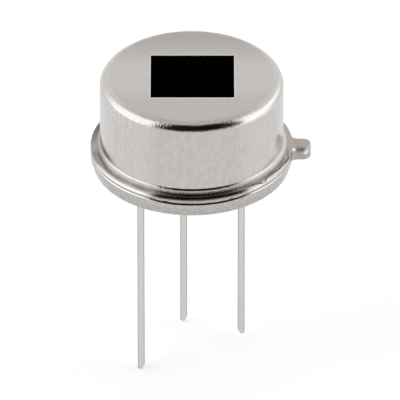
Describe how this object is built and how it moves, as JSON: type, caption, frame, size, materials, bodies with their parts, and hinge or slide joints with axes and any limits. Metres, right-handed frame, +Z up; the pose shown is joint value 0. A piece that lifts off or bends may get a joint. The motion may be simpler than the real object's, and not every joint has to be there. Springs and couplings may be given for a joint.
{
  "type": "pir motion sensor",
  "caption": "Passive infrared motion sensor: round metal can with a black filter window on top, a flanged header with a locating tab, and straight wire leads for soldering.",
  "frame": {"origin": "centre of the header's flat underside, which is the seating plane", "axes": "+Z up along the can's axis, away from the leads; +X along the window's long side, towards the tab"},
  "size_m": [0.01, 0.009, 0.0149],
  "materials": {
    "can_steel": "satin nickel-plated drawn steel",
    "header_steel": "satin nickel plating, lightly heat-tinted at the weld",
    "lead_wire": "dull plated wire",
    "filter": "opaque black coated silicon",
    "epoxy": "cured epoxy, matt",
    "seal_glass": "fused sealing glass, glossy dark",
    "braze": "brazing metal, satin",
    "ceramic": "alumina, matt white",
    "film_metal": "fired silver film",
    "solder": "bright solder",
    "silver_adhesive": "silver-filled adhesive",
    "electrode": "thin dark metal film",
    "element_ceramic": "fired ceramic, matt",
    "moulding": "moulded epoxy, matt black",
    "tinned_legs": "tin plating",
    "resistor_body": "glazed dark ceramic"
  },
  "bodies": {
    "root": {"can": "can_steel", "header": "header_steel", "filter_window": "filter", "window_bead": "epoxy", "drain_lead": "lead_wire", "source_lead": "lead_wire", "ground_lead": "lead_wire", "drain_glass_seal": "seal_glass", "source_glass_seal": "seal_glass", "ground_braze": "braze", "ceramic_board": "ceramic", "board_tracks": "film_metal", "drain_solder": "solder", "source_solder": "solder", "ground_solder": "solder", "left_element_support": "ceramic", "right_element_support": "ceramic", "left_adhesive_pad": "silver_adhesive", "right_adhesive_pad": "silver_adhesive", "left_rear_electrode": "electrode", "right_rear_electrode": "electrode", "pyro_element": "element_ceramic", "front_electrodes": "electrode", "transistor_body": "moulding", "transistor_gate_leg": "tinned_legs", "transistor_drain_leg": "tinned_legs", "transistor_source_leg": "tinned_legs", "gate_resistor": "resistor_body", "resistor_gate_terminal": "tinned_legs", "resistor_ground_terminal": "tinned_legs"}
  },
  "joints": []
}
